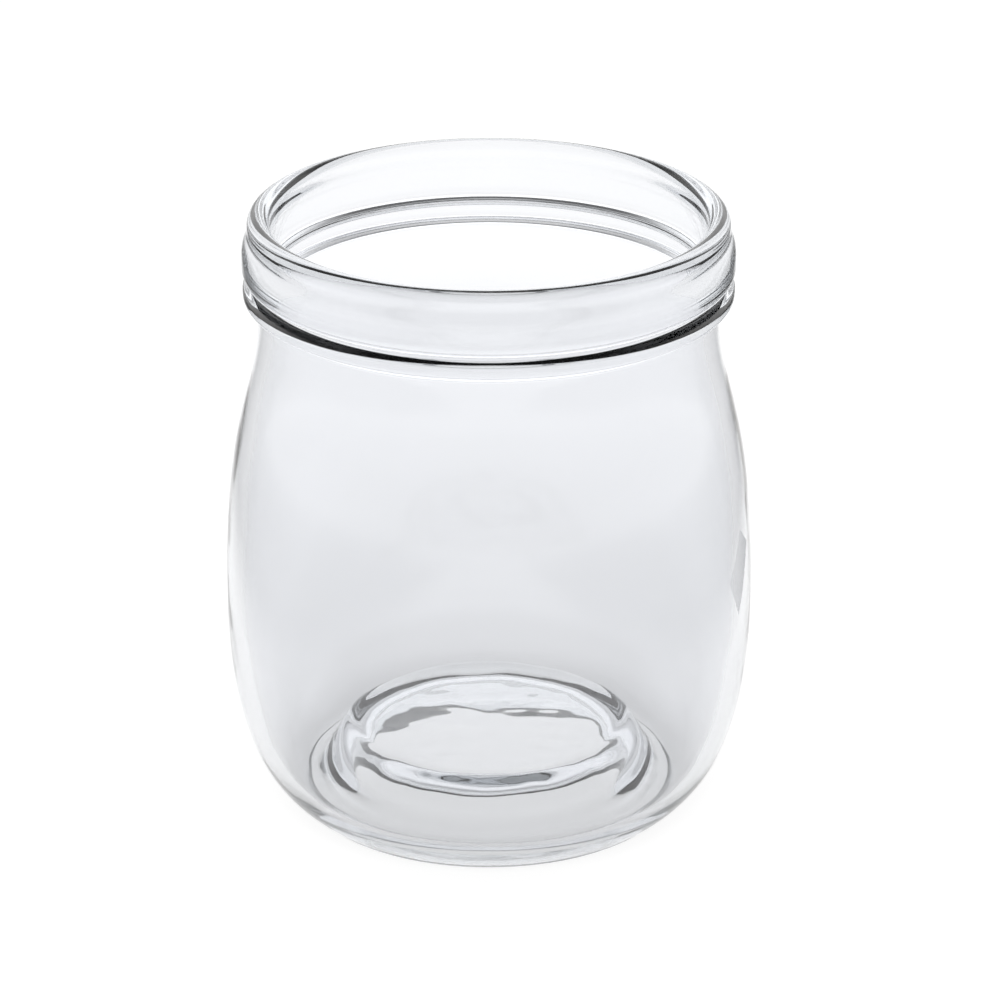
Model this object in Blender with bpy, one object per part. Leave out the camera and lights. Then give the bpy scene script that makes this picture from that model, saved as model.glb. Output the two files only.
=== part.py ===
"""Small preserving jar in clear glass: an empty, wide-mouthed, barrel-shaped jar with a rolled lip,
a lid bead and a smaller ring round the neck, and a base pushed up into a plateau with a moat round it.

Blender 4.5, metres, +Z up. The origin is the centre of the base, on the surface the jar stands on.
The jar is one piece of glass. Its half section is a line that starts at the middle of the inner floor,
climbs the inner wall, turns over the lip, and runs down the outer wall to the middle of the underside.
"""

from math import cos, pi, radians, sin

import bpy

# Driving dimensions
HEIGHT = 0.0855
BELLY_RADIUS = 0.03625
BELLY_HEIGHT = 0.0305
WALL = 0.0023
SEGMENTS = 80

# Lip and bore
LIP_RADIUS = 0.0326
LIP_THICKNESS = 0.0030
BORE_TAPER = 0.0006
BORE_DEPTH = 0.0130

# Lid bead, the groove under it and the smaller ring, with heights above the base
BEAD_RADIUS = 0.0334
BEAD_SWELL_END = 0.0798
BEAD_CORNER = 0.0020
BEAD_CORNER_HEIGHT = 0.0784
GROOVE_RADIUS = 0.0318
GROOVE_HEIGHT = 0.0762
RING_RADIUS = 0.0333
RING_TOP = 0.0756
RING_CORNER = 0.0010
RING_CORNER_HEIGHT = 0.0746
NECK_RADIUS = 0.0312
NECK_HEIGHT = 0.0726

# Shoulder and heel: how far each curve runs straight on before it bends
SHOULDER_PULL = 0.0279
NECK_PULL = 0.0131
HEEL_PULL = 0.0190
FOOT_PULL = 0.0066
FOOT_ANGLE = radians(33)
INNER_HEEL_PULL = 0.0175
INNER_MOAT_PULL = 0.0040

# Inner floor: a raised plateau and the moat round its foot
PLATEAU_RADIUS = 0.0182
PLATEAU_HEIGHT = 0.0110
PLATEAU_CROWN = 0.0001
MOAT_RADIUS = 0.0254
MOAT_HEIGHT = 0.0041
MOAT_BEND = 0.45

# Bearing ring, and the underside, which rises from it in a long S to a shallow dome
FOOT_RADIUS = 0.0262
BEARING_EDGE = 0.0004
BEARING_WIDTH = 0.0024
RISE_WIDTH = 0.0087
RISE_HEIGHT = 0.0071
RISE_START = 0.82
RISE_END = 0.75
PUSH_UP = 0.0075

MILLIMETRE = 0.001
GLASS_COLOUR = (0.86, 0.89, 0.89, 1.0)
GLASS_IOR = 1.52


def arc(centre, radius, start, end, steps):
    """Points on a circle about centre, from start to end in degrees; 0 points outwards, 90 up."""
    points = []
    for step in range(steps + 1):
        angle = radians(start + (end - start) * step / steps)
        points.append((centre[0] + radius * cos(angle), centre[1] + radius * sin(angle)))
    return points


def curve(start, start_handle, end_handle, end, steps):
    """Points on a cubic curve that leaves start towards its handle and comes into end from its own."""
    points = []
    for step in range(steps + 1):
        t = step / steps
        s = 1.0 - t
        weights = (s ** 3, 3.0 * s * s * t, 3.0 * s * t * t, t ** 3)
        knots = (start, start_handle, end_handle, end)
        points.append(tuple(sum(w * k[axis] for w, k in zip(weights, knots)) for axis in (0, 1)))
    return points


def dome(edge_radius, edge_height, crown_height, steps):
    """Points of a shallow dome on the axis, from its middle out to its edge."""
    points = []
    for step in range(steps + 1):
        share = step / steps
        height = edge_height + (crown_height - edge_height) * cos(share * pi / 2.0) ** 1.5
        points.append((edge_radius * share, height))
    return points


def inner_section():
    """Inner side, upwards: plateau, moat, inner heel, body wall and bore, to where the lip begins."""
    belly = (BELLY_RADIUS - WALL, BELLY_HEIGHT)
    bore = (LIP_RADIUS - LIP_THICKNESS - BORE_TAPER, HEIGHT - BORE_DEPTH)
    plateau = dome(PLATEAU_RADIUS, PLATEAU_HEIGHT, PLATEAU_HEIGHT + PLATEAU_CROWN, 2)
    moat = (MOAT_RADIUS, MOAT_HEIGHT)
    bend = MOAT_BEND * (MOAT_RADIUS - PLATEAU_RADIUS)
    slope = curve(
        plateau[-1],
        (PLATEAU_RADIUS + bend, PLATEAU_HEIGHT),
        (MOAT_RADIUS - bend, MOAT_HEIGHT),
        moat,
        5,
    )
    heel = curve(
        moat,
        (MOAT_RADIUS + INNER_MOAT_PULL, MOAT_HEIGHT),
        (belly[0], belly[1] - INNER_HEEL_PULL),
        belly,
        7,
    )
    wall = curve(belly, (belly[0], belly[1] + SHOULDER_PULL), (bore[0], bore[1] - NECK_PULL), bore, 6)
    return plateau + slope[1:] + heel[1:] + wall[1:]


def mouth_section():
    """Lip and lid bead: over the round rim, down the soft swell and round the bead's lower corner."""
    rim = LIP_THICKNESS / 2.0
    lip = arc((LIP_RADIUS - rim, HEIGHT - rim), rim, 180, 0, 6)
    top = HEIGHT - rim - 0.3 * MILLIMETRE
    swell = curve(
        (LIP_RADIUS, top),
        (LIP_RADIUS, top - 1.2 * MILLIMETRE),
        (BEAD_RADIUS, BEAD_SWELL_END + 2.0 * MILLIMETRE),
        (BEAD_RADIUS, BEAD_SWELL_END),
        4,
    )
    corner = arc((BEAD_RADIUS - BEAD_CORNER, BEAD_CORNER_HEIGHT), BEAD_CORNER, 0, -80, 4)
    return lip + swell[1:] + corner


def ring_section():
    """Below the bead: the bottom of the groove, the smaller ring and the fillet into the neck."""
    groove = (GROOVE_RADIUS, GROOVE_HEIGHT)
    crest = (RING_RADIUS - 0.28 * MILLIMETRE, RING_TOP)
    over_ring = curve(
        groove,
        (GROOVE_RADIUS, GROOVE_HEIGHT - 0.3 * MILLIMETRE),
        (RING_RADIUS - 0.72 * MILLIMETRE, RING_TOP + 0.24 * MILLIMETRE),
        crest,
        2,
    )
    corner = arc((RING_RADIUS - RING_CORNER, RING_CORNER_HEIGHT), RING_CORNER, 0, -60, 3)
    end = corner[-1]
    fillet = curve(
        end,
        (end[0] - 0.52 * MILLIMETRE, end[1] - 0.3 * MILLIMETRE),
        (NECK_RADIUS, NECK_HEIGHT + 0.6 * MILLIMETRE),
        (NECK_RADIUS, NECK_HEIGHT),
        3,
    )
    return over_ring + corner + fillet[1:]


def wall_section():
    """Outer wall, downwards: shoulder, barrel and heel, to the foot's outer edge."""
    neck = (NECK_RADIUS, NECK_HEIGHT)
    belly = (BELLY_RADIUS, BELLY_HEIGHT)
    foot = (FOOT_RADIUS, BEARING_EDGE)
    foot_handle = (foot[0] + FOOT_PULL * cos(FOOT_ANGLE), foot[1] + FOOT_PULL * sin(FOOT_ANGLE))
    shoulder = curve(neck, (neck[0], neck[1] - NECK_PULL), (belly[0], belly[1] + SHOULDER_PULL), belly, 7)
    heel = curve(belly, (belly[0], belly[1] - HEEL_PULL), foot_handle, foot, 8)
    return shoulder[1:] + heel[1:]


def base_section():
    """Underside, inwards: the flat bearing ring, the long rise from it and the dome, to the axis."""
    outer = (FOOT_RADIUS - BEARING_EDGE, 0.0)
    inner = (outer[0] - BEARING_WIDTH, 0.0)
    edge = (inner[0] - RISE_WIDTH, RISE_HEIGHT)
    rise = curve(
        inner,
        (inner[0] - RISE_START * RISE_WIDTH, 0.0),
        (edge[0] + RISE_END * RISE_WIDTH, RISE_HEIGHT),
        edge,
        5,
    )
    underside = dome(*edge, PUSH_UP, 3)[::-1]
    return [outer] + rise + underside[1:]


def clear_glass():
    """Colourless soda-lime glass with the faint cool cast of its thick edges."""
    material = bpy.data.materials.new("clear_glass")
    material.use_nodes = True
    shader = material.node_tree.nodes["Principled BSDF"]
    shader.inputs["Base Color"].default_value = GLASS_COLOUR
    shader.inputs["Roughness"].default_value = 0.03
    shader.inputs["Metallic"].default_value = 0.0
    shader.inputs["IOR"].default_value = GLASS_IOR
    shader.inputs["Transmission Weight"].default_value = 0.9
    material.diffuse_color = GLASS_COLOUR
    return material


def make_jar():
    """Turn the half section about the jar's axis into one closed solid."""
    section = inner_section() + mouth_section() + ring_section() + wall_section() + base_section()
    points = [(radius, 0.0, height) for radius, height in section]
    edges = [(index, index + 1) for index in range(len(points) - 1)]
    mesh = bpy.data.meshes.new("jar")
    mesh.from_pydata(points, edges, [])
    jar = bpy.data.objects.new("jar", mesh)
    bpy.context.scene.collection.objects.link(jar)
    mesh.materials.append(clear_glass())

    turn = jar.modifiers.new("turn", "SCREW")
    turn.axis = "Z"
    turn.steps = SEGMENTS
    turn.render_steps = SEGMENTS
    turn.use_merge_vertices = True
    turn.merge_threshold = 0.00001
    turn.use_smooth_shade = True
    return jar


for old in list(bpy.data.objects):
    bpy.data.objects.remove(old, do_unlink=True)

make_jar()
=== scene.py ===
# %% [markdown]
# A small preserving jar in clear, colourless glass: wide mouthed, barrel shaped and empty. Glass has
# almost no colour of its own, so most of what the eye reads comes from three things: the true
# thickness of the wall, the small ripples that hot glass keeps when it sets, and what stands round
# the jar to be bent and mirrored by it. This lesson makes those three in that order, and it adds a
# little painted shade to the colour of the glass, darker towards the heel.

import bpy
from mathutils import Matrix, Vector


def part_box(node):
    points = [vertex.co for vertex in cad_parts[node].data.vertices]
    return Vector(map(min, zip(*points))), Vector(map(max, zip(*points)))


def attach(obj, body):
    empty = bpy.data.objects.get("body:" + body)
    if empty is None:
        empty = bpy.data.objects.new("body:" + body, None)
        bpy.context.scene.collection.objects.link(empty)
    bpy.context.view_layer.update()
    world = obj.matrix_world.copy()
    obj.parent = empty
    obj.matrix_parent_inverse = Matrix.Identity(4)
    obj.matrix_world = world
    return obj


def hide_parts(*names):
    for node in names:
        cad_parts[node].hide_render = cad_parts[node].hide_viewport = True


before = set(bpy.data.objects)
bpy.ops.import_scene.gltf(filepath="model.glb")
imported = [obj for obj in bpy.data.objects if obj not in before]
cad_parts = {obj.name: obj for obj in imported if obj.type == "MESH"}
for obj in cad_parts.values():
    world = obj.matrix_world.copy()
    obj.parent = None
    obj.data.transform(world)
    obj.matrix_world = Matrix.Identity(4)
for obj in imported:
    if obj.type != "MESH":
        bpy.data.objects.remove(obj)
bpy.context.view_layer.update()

# %% [markdown]
# The solid jar is right in shape but faceted, with flats that would show as stripes in glass. The
# piece made here follows the same half section with far finer steps. Its height and its widest
# radius are read from the solid, and the other sizes are those of the moulded jar, in metres.

# %% Sizes read from the solid
from math import cos, pi, radians, sin

import bpy
import bmesh
from mathutils import Vector

low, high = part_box("jar")
HEIGHT = high.z - low.z
BELLY_RADIUS = (high.x - low.x) / 2.0
BELLY_HEIGHT = 0.0305
WALL = 0.0023
print("height", round(HEIGHT, 5), "belly radius", round(BELLY_RADIUS, 5))

# %% [markdown]
# A moulded section is made of a few clean strokes: round corners, and long curves that leave one
# corner and come into the next. Two helpers draw both. A corner is an arc of a circle. A long curve
# is a cubic, which is steered by one handle at each end, as a draughtsman's spline is.

# %% Two strokes to draw a section with
def arc(centre, radius, start, end, steps):
    """Points on a circle, from start to end in degrees, where 0 points outwards and 90 up."""
    points = []
    for step in range(steps + 1):
        angle = radians(start + (end - start) * step / steps)
        points.append((centre[0] + radius * cos(angle), centre[1] + radius * sin(angle)))
    return points


def curve(start, start_handle, end_handle, end, steps):
    """Points on a cubic that leaves start towards its handle and comes into end from its own."""
    points = []
    for step in range(steps + 1):
        t = step / steps
        s = 1.0 - t
        weights = (s ** 3, 3.0 * s * s * t, 3.0 * s * t * t, t ** 3)
        knots = (start, start_handle, end_handle, end)
        points.append(tuple(sum(w * k[axis] for w, k in zip(weights, knots)) for axis in (0, 1)))
    return points


def straight(start, end, steps):
    """Points on a straight line."""
    return [tuple(a + (b - a) * step / steps for a, b in zip(start, end)) for step in range(steps + 1)]


# %% [markdown]
# The inside of the jar is what the plunger left. The floor is pushed up into a round plateau with a
# moat round its foot, then comes the heel, where the moat turns up into the barrel wall, and at the
# top the bore of the mouth, which opens a little so that the plunger could be drawn out.

# %% The inner side, upwards
PLATEAU_RADIUS = 0.0182
PLATEAU_HEIGHT = 0.0110
PLATEAU_CROWN = 0.0001
MOAT_RADIUS = 0.0254
MOAT_HEIGHT = 0.0041
MOAT_BEND = 0.45
INNER_HEEL_PULL = 0.0175
INNER_MOAT_PULL = 0.0040
SHOULDER_PULL = 0.0279
NECK_PULL = 0.0131
LIP_RADIUS = 0.0326
LIP_THICKNESS = 0.0030
BORE_TAPER = 0.0006
BORE_BOTTOM = HEIGHT - 0.0130
CROWN_POWER = 1.5


def crowned_disc(edge_radius, edge_height, crown_height, steps):
    """Points of a shallow dome on the axis, from its middle out to its edge."""
    points = []
    for step in range(steps + 1):
        share = step / steps
        height = edge_height + (crown_height - edge_height) * cos(share * pi / 2.0) ** CROWN_POWER
        points.append((edge_radius * share, height))
    return points


def inner_floor():
    plateau = crowned_disc(PLATEAU_RADIUS, PLATEAU_HEIGHT, PLATEAU_HEIGHT + PLATEAU_CROWN, 24)
    bend = MOAT_BEND * (MOAT_RADIUS - PLATEAU_RADIUS)
    slope = curve(
        plateau[-1],
        (PLATEAU_RADIUS + bend, PLATEAU_HEIGHT),
        (MOAT_RADIUS - bend, MOAT_HEIGHT),
        (MOAT_RADIUS, MOAT_HEIGHT),
        24,
    )
    return plateau + slope[1:]


def inner_wall(floor_end):
    belly = (BELLY_RADIUS - WALL, BELLY_HEIGHT)
    bore = (LIP_RADIUS - LIP_THICKNESS - BORE_TAPER, BORE_BOTTOM)
    heel = curve(
        floor_end,
        (floor_end[0] + INNER_MOAT_PULL, floor_end[1]),
        (belly[0], belly[1] - INNER_HEEL_PULL),
        belly,
        32,
    )
    barrel = curve(belly, (belly[0], belly[1] + SHOULDER_PULL), (bore[0], bore[1] - NECK_PULL), bore, 34)
    mouth = straight(bore, (LIP_RADIUS - LIP_THICKNESS, HEIGHT - LIP_THICKNESS / 2.0), 8)
    return heel[1:] + barrel[1:] + mouth[1:-1]


print("inner side", len(inner_floor()), "points for the floor")

# %% [markdown]
# The mouth is finished for a lid: a fire-polished round lip, then a bead that bulges softly from it,
# a groove, and a second smaller ring above the neck. The round lower corner of the bead and the
# groove under it bend light so hard that they show as the darkest line of the whole jar.

# %% The lip, the bead, the groove and the ring, downwards
BEAD_RADIUS = 0.0334
BEAD_CORNER = 0.0020
BEAD_CORNER_HEIGHT = 0.0784
BEAD_SWELL_END = 0.0798
GROOVE_RADIUS = 0.0318
GROOVE_HEIGHT = 0.0762
RING_RADIUS = 0.0333
RING_TOP = 0.0756
RING_CORNER = 0.0010
RING_CORNER_HEIGHT = 0.0746
NECK_RADIUS = 0.0312
NECK_HEIGHT = 0.0726
MILLIMETRE = 0.001


def lip_and_bead():
    rim = LIP_THICKNESS / 2.0
    lip = arc((LIP_RADIUS - rim, HEIGHT - rim), rim, 180, 0, 24)
    top = HEIGHT - rim - 0.3 * MILLIMETRE
    swell = curve(
        (LIP_RADIUS, top),
        (LIP_RADIUS, top - 1.2 * MILLIMETRE),
        (BEAD_RADIUS, BEAD_SWELL_END + 2.0 * MILLIMETRE),
        (BEAD_RADIUS, BEAD_SWELL_END),
        14,
    )
    corner = arc((BEAD_RADIUS - BEAD_CORNER, BEAD_CORNER_HEIGHT), BEAD_CORNER, 0, -80, 14)
    return lip + swell + corner


def groove_and_ring(corner_end):
    bottom = (GROOVE_RADIUS, GROOVE_HEIGHT)
    crest = (RING_RADIUS - 0.28 * MILLIMETRE, RING_TOP)
    ring_face = (RING_RADIUS, RING_CORNER_HEIGHT)
    under_bead = curve(
        corner_end,
        (corner_end[0] - 0.25 * MILLIMETRE, corner_end[1] - 0.03 * MILLIMETRE),
        (GROOVE_RADIUS, GROOVE_HEIGHT + 0.25 * MILLIMETRE),
        bottom,
        6,
    )
    over_ring = curve(
        bottom,
        (GROOVE_RADIUS, GROOVE_HEIGHT - 0.3 * MILLIMETRE),
        (RING_RADIUS - 0.72 * MILLIMETRE, RING_TOP + 0.24 * MILLIMETRE),
        crest,
        6,
    )
    ring = curve(
        crest,
        (RING_RADIUS, RING_TOP - 0.2 * MILLIMETRE),
        (RING_RADIUS, RING_TOP - 0.3 * MILLIMETRE),
        ring_face,
        5,
    )
    ring_corner = arc((RING_RADIUS - RING_CORNER, RING_CORNER_HEIGHT), RING_CORNER, 0, -60, 8)
    end = ring_corner[-1]
    fillet = curve(
        end,
        (end[0] - 0.52 * MILLIMETRE, end[1] - 0.3 * MILLIMETRE),
        (NECK_RADIUS, NECK_HEIGHT + 0.6 * MILLIMETRE),
        (NECK_RADIUS, NECK_HEIGHT),
        7,
    )
    return under_bead[1:] + over_ring[1:] + ring[1:] + ring_corner[1:] + fillet[1:]


print("mouth", len(lip_and_bead()), "points for the lip and the bead")

# %% [markdown]
# Below the neck the wall swells into the barrel and turns under at the heel. The jar stands on a
# narrow ring. Inside that ring the underside rises in a long S, under the moat, to a shallow dome
# under the plateau. Glassmakers push a base up like this so that it can't rock on a bump. The slopes
# work as lenses, which is why the floor looks so lively.

# %% The outer wall and the base, downwards
HEEL_PULL = 0.0190
FOOT_PULL = 0.0066
FOOT_ANGLE = radians(33)
FOOT_RADIUS = 0.0262
BEARING_WIDTH = 0.0024
BEARING_EDGE = 0.0004
RISE_WIDTH = 0.0087
RISE_HEIGHT = 0.0071
RISE_START = 0.82
RISE_END = 0.75
PUSH_UP = 0.0075


def outer_wall():
    neck = (NECK_RADIUS, NECK_HEIGHT)
    belly = (BELLY_RADIUS, BELLY_HEIGHT)
    foot = (FOOT_RADIUS, BEARING_EDGE)
    shoulder = curve(neck, (neck[0], neck[1] - NECK_PULL), (belly[0], belly[1] + SHOULDER_PULL), belly, 36)
    foot_handle = (foot[0] + FOOT_PULL * cos(FOOT_ANGLE), foot[1] + FOOT_PULL * sin(FOOT_ANGLE))
    heel = curve(belly, (belly[0], belly[1] - HEEL_PULL), foot_handle, foot, 36)
    return shoulder[1:] + heel[1:]


def bearing_ring():
    outer = FOOT_RADIUS - BEARING_EDGE
    outer_round = curve(
        (FOOT_RADIUS, BEARING_EDGE),
        (FOOT_RADIUS - 0.15 * MILLIMETRE, 0.2 * MILLIMETRE),
        (outer + 0.1 * MILLIMETRE, 0.0),
        (outer, 0.0),
        4,
    )
    return outer_round[1:] + [(outer - BEARING_WIDTH, 0.0)]


def underside(ring_end):
    edge = (ring_end[0] - RISE_WIDTH, RISE_HEIGHT)
    rise = curve(
        ring_end,
        (ring_end[0] - RISE_START * RISE_WIDTH, 0.0),
        (edge[0] + RISE_END * RISE_WIDTH, RISE_HEIGHT),
        edge,
        24,
    )
    return rise[1:] + crowned_disc(*edge, PUSH_UP, 24)[::-1][1:]


print("outer side", len(outer_wall()) + len(bearing_ring()), "points")

# %% [markdown]
# The whole section is one line, from the middle of the inner floor round to the middle of the
# underside. Hot glass sets unevenly: the floor and the dome, which cool last, ripple most, and the
# mouth, which is fire polished, hardly at all. So each stretch carries a number, its ripple share.

# %% Join the section and give each stretch its ripple share
LEAST_STEP = 0.02 * MILLIMETRE


def whole_section():
    """The half section as (radius, height, ripple share)."""
    floor = inner_floor()
    mouth = lip_and_bead()
    ring = bearing_ring()
    stretches = [
        (floor, 1.0),
        (inner_wall(floor[-1]), 0.18),
        (mouth, 0.05),
        (groove_and_ring(mouth[-1]), 0.08),
        (outer_wall(), 0.10),
        (ring, 0.0),
        (underside(ring[-1]), 0.80),
    ]
    line = [(radius, height, share) for points, share in stretches for radius, height in points]
    kept = [line[0]]
    for point in line[1:]:
        if abs(point[0] - kept[-1][0]) + abs(point[1] - kept[-1][1]) > LEAST_STEP:
            kept.append(point)
    return kept


section = whole_section()
print("section", len(section), "points")

# %% [markdown]
# Both the shape and the glass are made with node trees, and trees are easier to read as arithmetic.
# This small class wraps a socket, so that a * b + 1 adds the Math nodes that work it out. Any other
# node comes from one method: its type, then its settings, then what goes into its sockets.

# %% Node trees written as Python
class Wire:
    """One output socket. Arithmetic on it adds a Math node to the same tree."""

    def __init__(self, graph, socket):
        self.graph = graph
        self.socket = socket

    def output(self, name):
        """Another output of the same node."""
        return Wire(self.graph, self.socket.node.outputs[name])

    def math(self, operation, first, second):
        return self.graph.node("ShaderNodeMath", {"operation": operation}, {0: first, 1: second})

    def __add__(self, other):
        return self.math("ADD", self, other)

    def __radd__(self, other):
        return self.math("ADD", other, self)

    def __sub__(self, other):
        return self.math("SUBTRACT", self, other)

    def __rsub__(self, other):
        return self.math("SUBTRACT", other, self)

    def __mul__(self, other):
        return self.math("MULTIPLY", self, other)

    def __rmul__(self, other):
        return self.math("MULTIPLY", other, self)

    def __truediv__(self, other):
        return self.math("DIVIDE", self, other)

    def __rtruediv__(self, other):
        return self.math("DIVIDE", other, self)


class Graph:
    """A node tree that grows by one call for each node."""

    def __init__(self, tree):
        self.tree = tree

    def node(self, kind, settings=None, sockets=None, output=0):
        made = self.tree.nodes.new(kind)
        for name, value in (settings or {}).items():
            if name == "stops":
                fill_ramp(made.color_ramp, value)
            else:
                setattr(made, name, value)
        for key, value in (sockets or {}).items():
            self.feed(made.inputs[key], value)
        return Wire(self, made.outputs[output]) if made.outputs else None

    def feed(self, target, value):
        if isinstance(value, Wire):
            self.tree.links.new(value.socket, target)
        else:
            target.default_value = value


def fill_ramp(ramp, stops):
    """Gives a colour ramp its stops, each a position and a grey or a colour."""
    while len(ramp.elements) > 1:
        ramp.elements.remove(ramp.elements[-1])
    for index, (position, value) in enumerate(stops):
        stop = ramp.elements[0] if index == 0 else ramp.elements.new(position)
        stop.position = position
        colour = value if isinstance(value, tuple) else (value, value, value)
        stop.color = (*colour, 1.0)


print("helpers ready")

# %% [markdown]
# A jar is a turned shape, and a rule makes it: row i of a flat grid is point i of the section, and
# column j is that point turned by j steps round the axis. Geometry Nodes suits this well, because
# the number of steps and the ripples stay inputs that can be changed. The last column lies on the
# first one and each pole is a row of equal points, so a merge closes the seam and both poles.

# %% The tree that turns the section
MERGED_WITHIN = 0.000002


def tree_input(tree, name, kind, value=None):
    """Adds a named input to a tree and returns its identifier, by which a modifier sets it."""
    socket = tree.interface.new_socket(name=name, in_out="INPUT", socket_type=kind)
    if value is not None:
        socket.default_value = value
    return socket.identifier


def turning_tree(name):
    tree = bpy.data.node_groups.new(name, "GeometryNodeTree")
    tree.is_modifier = True
    tree_input(tree, "Section", "NodeSocketGeometry")
    identifiers = {
        "Steps round": tree_input(tree, "Steps round", "NodeSocketInt", 288),
        "Ripple depth": tree_input(tree, "Ripple depth", "NodeSocketFloat", 0.0001),
        "Ripple width": tree_input(tree, "Ripple width", "NodeSocketFloat", 0.008),
        "Seed": tree_input(tree, "Seed", "NodeSocketFloat", 1.0),
        "Glass": tree_input(tree, "Glass", "NodeSocketMaterial"),
    }
    tree.interface.new_socket(name="Jar", in_out="OUTPUT", socket_type="NodeSocketGeometry")

    graph = Graph(tree)
    given = graph.node("NodeGroupInput")
    steps = given.output("Steps round")
    points = graph.node("GeometryNodeAttributeDomainSize", None, {"Geometry": given}, "Point Count")
    sheet = graph.node("GeometryNodeMeshGrid", None, {"Vertices X": points, "Vertices Y": steps + 1})
    index = graph.node("GeometryNodeInputIndex")
    row = graph.node("ShaderNodeMath", {"operation": "FLOOR"}, {0: index / (steps + 1)})
    column = index - row * (steps + 1)

    place = graph.node("GeometryNodeInputPosition")
    on_section = graph.node(
        "GeometryNodeSampleIndex",
        {"data_type": "FLOAT_VECTOR"},
        {"Geometry": given, "Value": place, "Index": row},
    )
    radius = graph.node("ShaderNodeSeparateXYZ", None, {0: on_section})
    angle = column / steps * (2.0 * pi)
    turned = graph.node(
        "ShaderNodeCombineXYZ",
        None,
        {
            "X": radius * graph.node("ShaderNodeMath", {"operation": "COSINE"}, {0: angle}),
            "Y": radius * graph.node("ShaderNodeMath", {"operation": "SINE"}, {0: angle}),
            "Z": radius.output("Z"),
        },
    )
    share = graph.node("GeometryNodeInputNamedAttribute", {"data_type": "FLOAT"}, {"Name": "ripple"})
    share_here = graph.node(
        "GeometryNodeSampleIndex", {"data_type": "FLOAT"}, {"Geometry": given, "Value": share, "Index": row}
    )
    shaped = graph.node("GeometryNodeSetPosition", None, {"Geometry": sheet, "Position": turned})
    marked = graph.node(
        "GeometryNodeStoreNamedAttribute",
        {"data_type": "FLOAT"},
        {"Geometry": shaped, "Name": "ripple", "Value": share_here},
    )
    closed = graph.node(
        "GeometryNodeMergeByDistance", None, {"Geometry": marked, "Distance": MERGED_WITHIN}
    )

    ripple = rippled_glass(graph, place, given)
    push = ripple * share * given.output("Ripple depth")
    outwards = graph.node("GeometryNodeInputNormal")
    offset = graph.node("ShaderNodeVectorMath", {"operation": "SCALE"}, {"Vector": outwards, "Scale": push})
    uneven = graph.node("GeometryNodeSetPosition", None, {"Geometry": closed, "Offset": offset})
    smooth = graph.node("GeometryNodeSetShadeSmooth", None, {"Geometry": uneven})
    finished = graph.node(
        "GeometryNodeSetMaterial", None, {"Geometry": smooth, "Material": given.output("Glass")}
    )
    real = graph.node("GeometryNodeRealizeInstances", None, {"Geometry": finished})
    graph.node("NodeGroupOutput", None, {"Jar": real})
    return tree, identifiers


def rippled_glass(graph, place, given):
    """A number from about -1 to 1 that wanders slowly over the surface, in two sizes of wave."""
    waves = 0.0
    for width_share, height_share in ((1.0, 1.0), (0.4, 0.35)):
        scale = 1.0 / (given.output("Ripple width") * width_share)
        cloud = graph.node(
            "ShaderNodeTexNoise",
            {"noise_dimensions": "4D"},
            {"Vector": place, "W": given.output("Seed"), "Scale": scale, "Detail": 0.0},
        )
        waves = waves + (cloud - 0.5) * (2.0 * height_share)
    return waves


turning, turning_inputs = turning_tree("turned_glass")
print("turning tree", len(turning.nodes), "nodes")

# %% [markdown]
# The glass itself is a Principled shader with full transmission and the index of soda-lime glass.
# Colourless glass is never quite so: its base colour is a faint tint of its own, which takes a
# little light away at each side. Down the wall that colour is also painted shade. It darkens
# towards the heel, most of all at the foot, so the barrel looks faintly grey against a white ground
# as if shade lay behind it, and the heel draws dark edges, while the fire-polished mouth and the
# thin floor are clearest. The iron in the sand leaves a cool cast that shows where light crosses
# a lot of glass, and absorption in the volume gives it. The skin has a faint orange peel, from a
# bump of a very small height.

# %% The glass
GLASS_INDEX = 1.5
CLEAR_TINT = (0.992, 0.995, 0.999)
# Base colour by height in millimetres: a faint glass tint, darkened towards the heel by painted shade.
WALL_TINTS_AND_PAINTED_SHADE = [
    (0.0, 0.60),
    (4.0, 0.70),
    (8.0, 0.85),
    (13.0, 0.89),
    (30.0, 0.925),
    (46.0, 0.92),
    (58.0, 0.945),
    (70.0, 0.99),
]
COOL = (0.987, 0.993, 1.010)
FLOOR_TINT_TO = 0.0230
WALL_TINT_FROM = 0.0280
CAST = (0.44, 0.47, 0.50)
CAST_DENSITY = 34.0
SKIN_WIDTH = 0.006
SKIN_HEIGHT = 0.000012
HAZE = 0.012
HAZE_SCALE = 90.0


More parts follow.
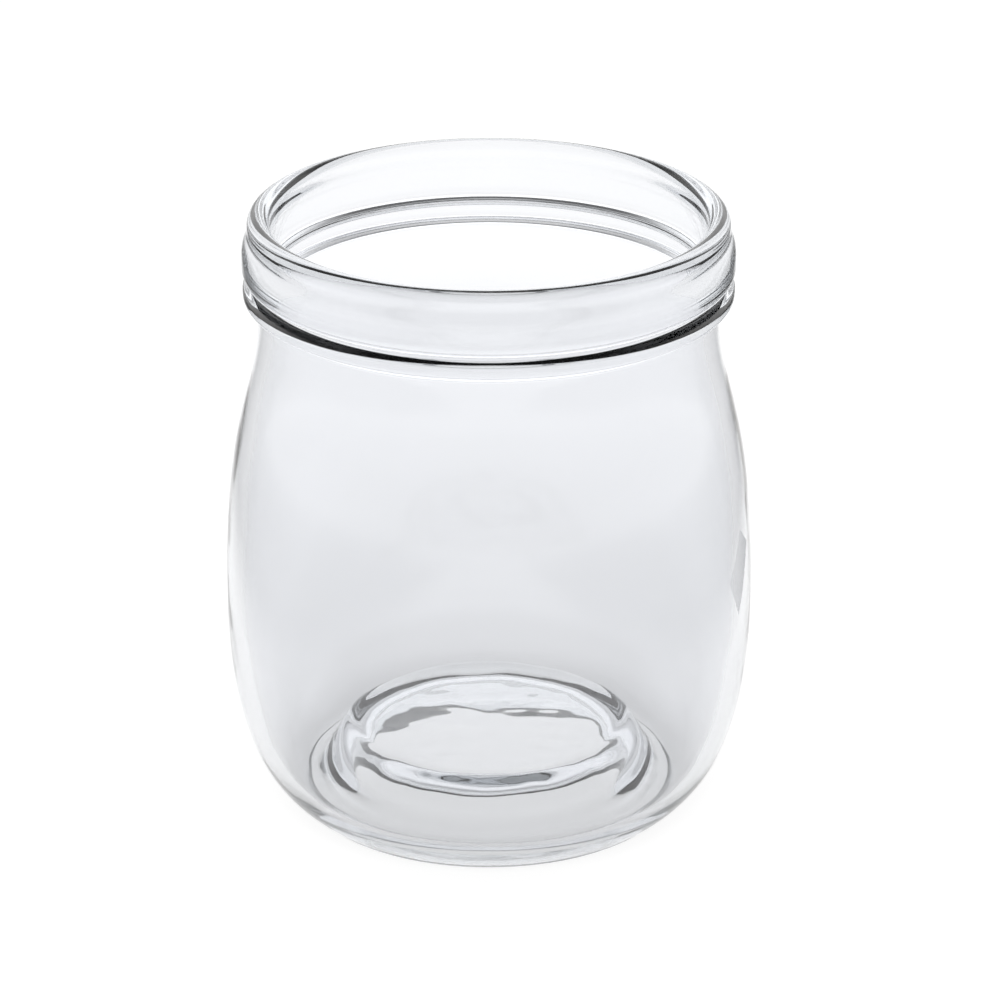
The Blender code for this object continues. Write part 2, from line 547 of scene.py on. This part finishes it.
def make_glass():
    material = bpy.data.materials.new("clear_glass")
    material.use_nodes = True
    graph = Graph(material.node_tree)
    shader = material.node_tree.nodes["Principled BSDF"]
    place = graph.node("ShaderNodeTexCoord", None, None, "Object")
    across = graph.node("ShaderNodeSeparateXYZ", None, {0: place})
    stops = [
        (level * MILLIMETRE / HEIGHT, tuple(tone * part for part in COOL)) for level, tone in WALL_TINTS_AND_PAINTED_SHADE
    ]
    # Painted shade: the base colour darkens down the wall towards the heel.
    wall_tint_and_shade = graph.node("ShaderNodeValToRGB", {"stops": stops}, {"Fac": across.output("Z") / HEIGHT})
    outwards = graph.node(
        "ShaderNodeMapRange",
        {"interpolation_type": "SMOOTHSTEP"},
        {
            "Value": across * across + across.output("Y") * across.output("Y"),
            "From Min": FLOOR_TINT_TO ** 2,
            "From Max": WALL_TINT_FROM ** 2,
        },
    )
    tint_and_painted_shade = graph.node(
        "ShaderNodeMix",
        {"data_type": "RGBA"},
        {"Factor": outwards, "A": (*CLEAR_TINT, 1.0), "B": wall_tint_and_shade},
        "Result",
    )
    haze = graph.node("ShaderNodeTexNoise", None, {"Vector": place, "Scale": HAZE_SCALE, "Detail": 1.0})
    skin = graph.node(
        "ShaderNodeTexNoise", None, {"Vector": place, "Scale": 1.0 / SKIN_WIDTH, "Detail": 0.0}
    )
    bump = graph.node("ShaderNodeBump", None, {"Height": skin, "Strength": 1.0, "Distance": SKIN_HEIGHT})
    graph.feed(shader.inputs["Base Color"], tint_and_painted_shade)
    graph.feed(shader.inputs["Roughness"], haze * HAZE)
    graph.feed(shader.inputs["Normal"], bump)
    shader.inputs["Transmission Weight"].default_value = 1.0
    shader.inputs["IOR"].default_value = GLASS_INDEX
    depth = graph.node("ShaderNodeVolumeAbsorption", None, {"Color": (*CAST, 1.0), "Density": CAST_DENSITY})
    graph.feed(material.node_tree.nodes["Material Output"].inputs["Volume"], depth)
    return material


glass = make_glass()
print("material", glass.name)

# %% [markdown]
# Now the section becomes a mesh of bare points, each with its ripple share, and the tree turns it.
# The evaluated result is copied to a plain mesh, so that nothing live is left on the finished piece.

# %% Turn the jar
STEPS_ROUND = 288
RIPPLE_DEPTH = 0.00012
RIPPLE_WIDTH = 0.007
RIPPLE_SEED = 4.0


def section_object(points):
    mesh = bpy.data.meshes.new("section")
    mesh.from_pydata([(radius, 0.0, height) for radius, height, share in points], [], [])
    ripple = mesh.attributes.new("ripple", "FLOAT", "POINT")
    ripple.data.foreach_set("value", [share for radius, height, share in points])
    piece = bpy.data.objects.new("section", mesh)
    bpy.context.scene.collection.objects.link(piece)
    return piece


def turn_jar(points):
    line = section_object(points)
    turn = line.modifiers.new("turn", "NODES")
    turn.node_group = turning
    turn[turning_inputs["Steps round"]] = STEPS_ROUND
    turn[turning_inputs["Ripple depth"]] = RIPPLE_DEPTH
    turn[turning_inputs["Ripple width"]] = RIPPLE_WIDTH
    turn[turning_inputs["Seed"]] = RIPPLE_SEED
    turn[turning_inputs["Glass"]] = glass
    bpy.context.view_layer.update()
    depsgraph = bpy.context.evaluated_depsgraph_get()
    mesh = bpy.data.meshes.new_from_object(line.evaluated_get(depsgraph))
    mesh.name = "jar_glass"
    bpy.data.objects.remove(line)
    jar = bpy.data.objects.new("jar_glass", mesh)
    bpy.context.scene.collection.objects.link(jar)
    return jar


jar = turn_jar(section)
triangles = sum(len(face.vertices) - 2 for face in jar.data.polygons)
print("jar", len(jar.data.vertices), "points", triangles, "triangles")

# %% [markdown]
# Glass only renders truly if its skin is closed and faces outwards, so both are measured before the
# piece goes into the frame: no open edge, and a positive volume. The volume also gives the weight.

# %% Measure the skin and put the jar in the frame
def measure(piece):
    mesh = bmesh.new()
    mesh.from_mesh(piece.data)
    open_edges = sum(1 for edge in mesh.edges if not edge.is_manifold)
    volume = mesh.calc_volume(signed=True)
    mesh.free()
    return open_edges, volume


open_edges, volume = measure(jar)
print("open edges", open_edges, "glass", round(volume * 1e6, 2), "cubic centimetres")
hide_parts("jar")
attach(jar, "root")

# %% [markdown]
# Clear glass is photographed in front of something bright, so that its edges, which bend the view
# away from the bright field, draw themselves in dark lines. Here the bright field is the pale floor.
# It gives off most of its light itself, and the rest comes from the lamp, so the jar still leaves a
# soft shadow behind it, which helps to grey the view through the barrel.

# %% The floor
FLOOR_SIZE = 6.0
FLOOR_GLOW = 0.92
FLOOR_WHITE = 0.25
FLOOR_DROP = 0.0002


def matte_material(name, base, glow):
    """A dull surface, which gives off light of its own where glow is above 0."""
    material = bpy.data.materials.new(name)
    material.use_nodes = True
    shader = material.node_tree.nodes["Principled BSDF"]
    shader.inputs["Base Color"].default_value = (base, base, base, 1.0)
    shader.inputs["Roughness"].default_value = 1.0
    shader.inputs["Specular IOR Level"].default_value = 0.0
    shader.inputs["Emission Color"].default_value = (1.0, 1.0, 1.0, 1.0)
    shader.inputs["Emission Strength"].default_value = glow
    return material


def flat_sheet(name, left, right, front, back, height, material):
    """A level rectangle that faces up."""
    mesh = bpy.data.meshes.new(name)
    corners = [(left, front, 0.0), (right, front, 0.0), (right, back, 0.0), (left, back, 0.0)]
    mesh.from_pydata(corners, [], [(0, 1, 2, 3)])
    mesh.materials.append(material)
    sheet = bpy.data.objects.new(name, mesh)
    sheet.location.z = height
    bpy.context.scene.collection.objects.link(sheet)
    return sheet


half_floor = FLOOR_SIZE / 2.0
pale_floor = matte_material("pale_floor", FLOOR_WHITE, FLOOR_GLOW)
floor = flat_sheet("floor", -half_floor, half_floor, -half_floor, half_floor, -FLOOR_DROP, pale_floor)
print("floor", FLOOR_SIZE, "m across")

# %% [markdown]
# A studio keeps the flanks of a glass from washing out with grey cards, laid on the table on either
# side. The flanks mirror the table there, and where they mirror a card instead, they turn grey and
# their edges dark. Each card is as pale as the table near the jar and darkens away from it, so no
# hard edge shows in the glass, and it pales again at its far side and its ends. A small black card
# on the right draws the dark patch on that flank. The cards lie outside the picture, and they show
# as mirror images only.

# %% The cards on either side
CARD_NEAR = 0.070
CARD_WIDTH = 0.40
CARD_LENGTH = 0.90
CARD_DARK_FROM = 0.120
CARD_DARK_TO = 0.130
CARD_FADES_FROM = 0.12
CARD_GREYS = {"left": 0.08, "right": 0.02}
BLACK_CARD_SIDES = (0.078, 0.105)
BLACK_CARD_ENDS = (0.045, 0.085)
BLACK_CARD_LIFT = 0.0004
BLACK = 0.02


def seen_by_mirroring_only(card):
    card.visible_camera = False
    card.visible_transmission = False
    card.visible_diffuse = False


def fading(graph, distance, start, end, start_value, end_value):
    """A number that changes smoothly from start to end, counted from the middle either way."""
    return graph.node(
        "ShaderNodeMapRange",
        {"interpolation_type": "SMOOTHSTEP"},
        {
            "Value": distance * distance,
            "From Min": start ** 2,
            "From Max": end ** 2,
            "To Min": start_value,
            "To Max": end_value,
        },
    )


def graded_material(name, grey):
    """The table's own white near the jar, and grey away from it."""
    material = matte_material(name, FLOOR_WHITE, FLOOR_GLOW)
    graph = Graph(material.node_tree)
    place = graph.node("ShaderNodeTexCoord", None, None, "Object")
    parts = graph.node("ShaderNodeSeparateXYZ", None, {0: place})
    aside = fading(graph, parts, CARD_NEAR, CARD_DARK_FROM, 0.0, 1.0)
    away = fading(graph, parts, CARD_DARK_TO, CARD_NEAR + CARD_WIDTH, 1.0, 0.0)
    along = fading(graph, parts.output("Y"), CARD_FADES_FROM, CARD_LENGTH / 2.0, 1.0, 0.0)
    tone = graph.node(
        "ShaderNodeMix",
        {"data_type": "RGBA"},
        {"Factor": aside * away * along, "A": (1.0, 1.0, 1.0, 1.0), "B": (grey, grey, grey, 1.0)},
        "Result",
    )
    graph.feed(material.node_tree.nodes["Principled BSDF"].inputs["Emission Color"], tone)
    return material


def lay_cards():
    half = CARD_LENGTH / 2.0
    far = CARD_NEAR + CARD_WIDTH
    left_grade = graded_material("card_left", CARD_GREYS["left"])
    right_grade = graded_material("card_right", CARD_GREYS["right"])
    black = matte_material("black_card", BLACK, 0.0)
    cards = [
        flat_sheet("card_left", -far, -CARD_NEAR, -half, half, 0.0, left_grade),
        flat_sheet("card_right", CARD_NEAR, far, -half, half, 0.0, right_grade),
        flat_sheet("black_card", *BLACK_CARD_SIDES, *BLACK_CARD_ENDS, BLACK_CARD_LIFT, black),
    ]
    for card in cards:
        seen_by_mirroring_only(card)
    return cards


print("cards", len(lay_cards()), "from", CARD_NEAR, "m out")

# %% [markdown]
# The room round the jar decides which edges are dark. Low down it is as pale as the floor, so that
# the horizon disappears. Behind the jar a lit backdrop stands on the floor, and the slopes of the
# raised base pick it up as white bands. Above that the room darkens, like the unlit part of a studio,
# and it is a little brighter again overhead. Behind the camera it is dim, which draws the dark lines
# under the bead and across the mouth.

# %% The room
BEHIND_JAR = [(-90, 1.02), (4, 1.02), (10, 1.5), (34, 1.5), (44, 0.6), (56, 0.6), (66, 0.75), (90, 0.75)]
BEHIND_CAMERA = [(-90, 1.02), (5, 1.02), (12, 0.3), (32, 0.3), (40, 0.1), (60, 0.12), (70, 0.3), (90, 0.75)]


def by_elevation(levels):
    """Ramp stops for brightness given at elevations in degrees, for a direction's height from -1 to 1."""
    return [((sin(radians(elevation)) + 1.0) / 2.0, level) for elevation, level in levels]


def make_room():
    world = bpy.data.worlds.new("room")
    bpy.context.scene.world = world
    world.use_nodes = True
    graph = Graph(world.node_tree)
    direction = graph.node("ShaderNodeTexCoord", None, None, "Generated")
    parts = graph.node("ShaderNodeSeparateXYZ", None, {0: direction}, "Y")
    height = parts.output("Z") * 0.5 + 0.5
    behind = graph.node("ShaderNodeValToRGB", {"stops": by_elevation(BEHIND_JAR)}, {"Fac": height})
    front = graph.node("ShaderNodeValToRGB", {"stops": by_elevation(BEHIND_CAMERA)}, {"Fac": height})
    side = graph.node(
        "ShaderNodeMapRange",
        {"interpolation_type": "SMOOTHSTEP"},
        {"Value": parts, "From Min": -0.2, "From Max": 0.5},
    )
    mixed = graph.node(
        "ShaderNodeMix", {"data_type": "RGBA"}, {"Factor": side, "A": front, "B": behind}, "Result"
    )
    background = world.node_tree.nodes["Background"]
    graph.feed(background.inputs["Color"], mixed)
    return world


room = make_room()
print("room", room.name)

# %% [markdown]
# One lamp stands high on the camera's side. It is a tall, narrow strip: its width keeps the sides of
# the shadow behind the jar, where the camera sees them only through the glass, and its height fades
# the shadow out slowly, from dark at the jar's foot to nothing a hand's breadth behind it.

# %% The lamp
LAMP_DISTANCE = 1.3
LAMP_ELEVATION = radians(40)
LAMP_SIDE = radians(-2)
LAMP_WIDTH = 0.12
LAMP_HEIGHT = 0.7
LAMP_POWER = 6.0


def make_lamp():
    data = bpy.data.lights.new("strip_lamp", "AREA")
    data.shape = "RECTANGLE"
    data.size = LAMP_WIDTH
    data.size_y = LAMP_HEIGHT
    data.energy = LAMP_POWER
    lamp = bpy.data.objects.new("strip_lamp", data)
    bpy.context.scene.collection.objects.link(lamp)
    flat = cos(LAMP_ELEVATION)
    towards = Vector((sin(LAMP_SIDE) * flat, -cos(LAMP_SIDE) * flat, sin(LAMP_ELEVATION)))
    middle = Vector((0.0, 0.0, HEIGHT / 2.0))
    lamp.location = middle + towards * LAMP_DISTANCE
    lamp.rotation_euler = (-towards).to_track_quat("-Z", "Y").to_euler()
    lamp.visible_camera = False
    lamp.visible_glossy = False
    lamp.visible_transmission = False
    return lamp


lamp = make_lamp()
print("lamp", tuple(round(v, 3) for v in lamp.location))

# %% [markdown]
# The camera stands a little above the jar and looks down into its mouth, through a long lens that
# keeps the barrel from flaring. The lens is worked out from the picture: so many pixels to one unit
# of slope, and the pixels where the jar's axis and the middle of its height belong.

# %% The camera
PICTURE = 1000.0
SLOPE_PIXELS = 5083.0
AXIS_COLUMN = 489.0
MIDDLE_ROW = 503.3
LOOKED_AT = 0.043
CAMERA_DISTANCE = 0.7
CAMERA_ELEVATION = radians(22.4)
SENSOR = 36.0


def make_camera():
    data = bpy.data.cameras.new("camera")
    data.sensor_width = SENSOR
    data.lens = SLOPE_PIXELS / PICTURE * SENSOR
    data.clip_start = 0.01
    camera = bpy.data.objects.new("camera", data)
    bpy.context.scene.collection.objects.link(camera)
    back = Vector((0.0, -cos(CAMERA_ELEVATION), sin(CAMERA_ELEVATION)))
    up = Vector((0.0, sin(CAMERA_ELEVATION), cos(CAMERA_ELEVATION)))
    pixel = CAMERA_DISTANCE / SLOPE_PIXELS
    target = Vector((0.0, 0.0, LOOKED_AT))
    target += Vector((1.0, 0.0, 0.0)) * (PICTURE / 2.0 - AXIS_COLUMN) * pixel
    target += up * (MIDDLE_ROW - PICTURE / 2.0) * pixel
    camera.location = target + back * CAMERA_DISTANCE
    camera.rotation_euler = (-back).to_track_quat("-Z", "Y").to_euler()
    bpy.context.scene.camera = camera
    return camera


camera = make_camera()
print("camera lens", round(camera.data.lens, 1), "mm")

# %% [markdown]
# Light has to cross the wall of a jar many times, from skin to skin, so the paths are allowed many
# bounces. The plain view transform keeps the white field white.

# %% How light is followed
scene = bpy.context.scene
scene.view_settings.view_transform = "Standard"
scene.cycles.use_denoising = True
scene.cycles.caustics_refractive = False
scene.cycles.caustics_reflective = False
scene.cycles.max_bounces = 26
scene.cycles.transmission_bounces = 26
scene.cycles.glossy_bounces = 12
print("bounces", scene.cycles.max_bounces)
